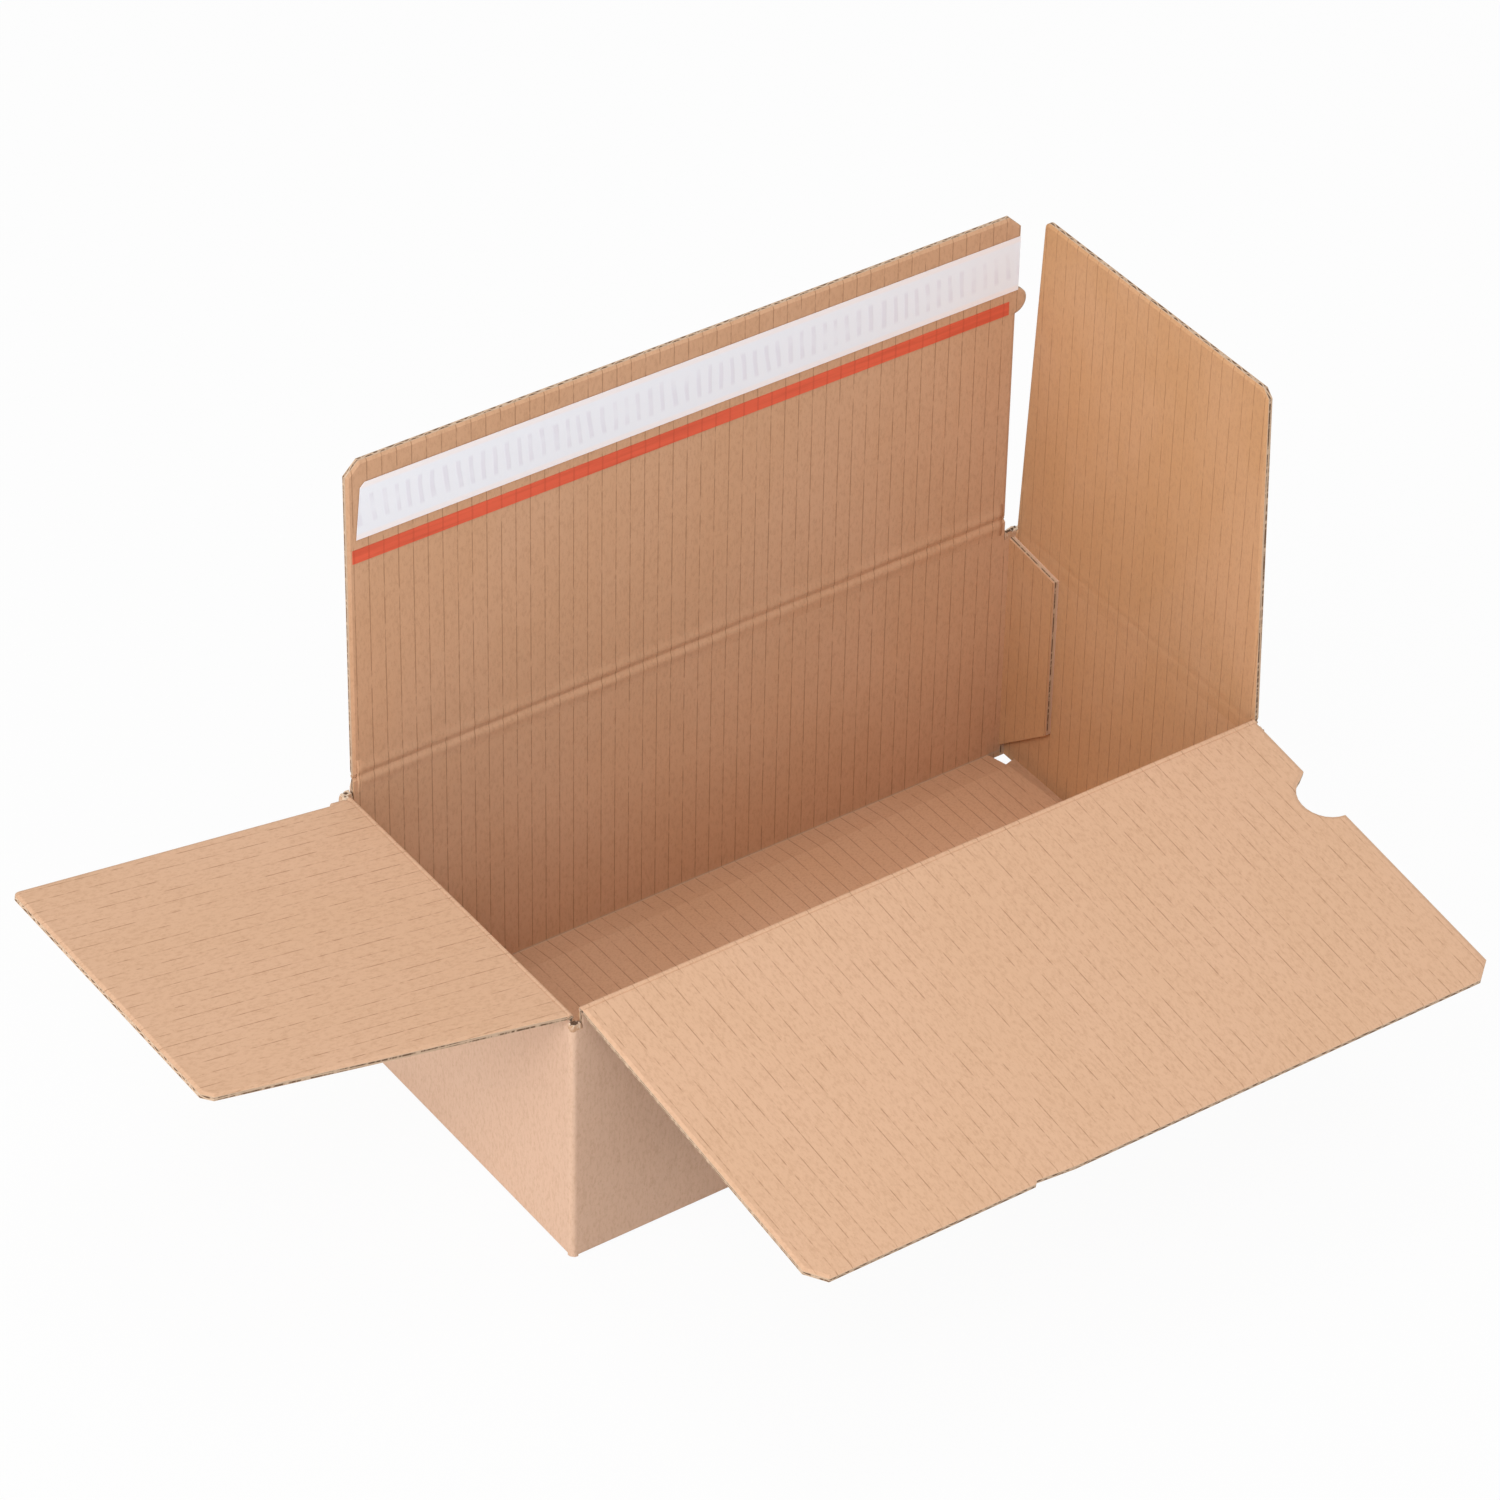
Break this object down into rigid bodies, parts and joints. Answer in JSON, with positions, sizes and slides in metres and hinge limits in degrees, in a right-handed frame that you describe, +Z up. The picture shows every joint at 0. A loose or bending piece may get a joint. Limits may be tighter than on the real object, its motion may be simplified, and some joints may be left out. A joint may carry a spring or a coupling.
{
  "type": "crash lock box",
  "caption": "Long crash lock mailing box in corrugated board, open, with four hinged lid flaps, a peel-and-seal strip, a tear strip and a finger notch.",
  "frame": {"origin": "centre of the box's footprint, on the surface it stands on", "axes": "+X along the long side, +Y towards the rear lid flap's wall, +Z up"},
  "size_m": [0.4519, 0.2995, 0.2584],
  "materials": {
    "kraft_board": "brown kraft liner, faint flute lines, dark flute holes at the cut edges",
    "adhesive": "pale tacky hot-melt",
    "liner_paper": "white silicone-coated release paper, slightly glossy",
    "tear_film": "orange-red tape, slightly glossy"
  },
  "bodies": {
    "carton": {"carton_body": "kraft_board"},
    "rear_lid": {"rear_flap": "kraft_board", "adhesive_strip": "adhesive", "release_liner": "liner_paper", "tear_strip": "tear_film"},
    "front_lid": {"front_flap": "kraft_board"},
    "left_side": {"left_flap": "kraft_board"},
    "right_side": {"right_flap": "kraft_board"}
  },
  "joints": [
    {"name": "rear_lid_fold", "type": "hinge", "parent": "carton", "child": "rear_lid", "pos_m": [0, 0.0769, 0.1181], "axis": [-1, 0, 0], "range_deg": [-90, 145]},
    {"name": "front_lid_fold", "type": "hinge", "parent": "carton", "child": "front_lid", "pos_m": [0, -0.0769, 0.1145], "axis": [1, 0, 0], "range_deg": [-188.4, 41.6]},
    {"name": "left_side_fold", "type": "hinge", "parent": "carton", "child": "left_side", "pos_m": [-0.1539, 0, 0.1115], "axis": [0, -1, 0], "range_deg": [-171.1, 57.9]},
    {"name": "right_side_fold", "type": "hinge", "parent": "carton", "child": "right_side", "pos_m": [0.1539, 0, 0.1115], "axis": [0, 1, 0], "range_deg": [-90, 138]}
  ]
}
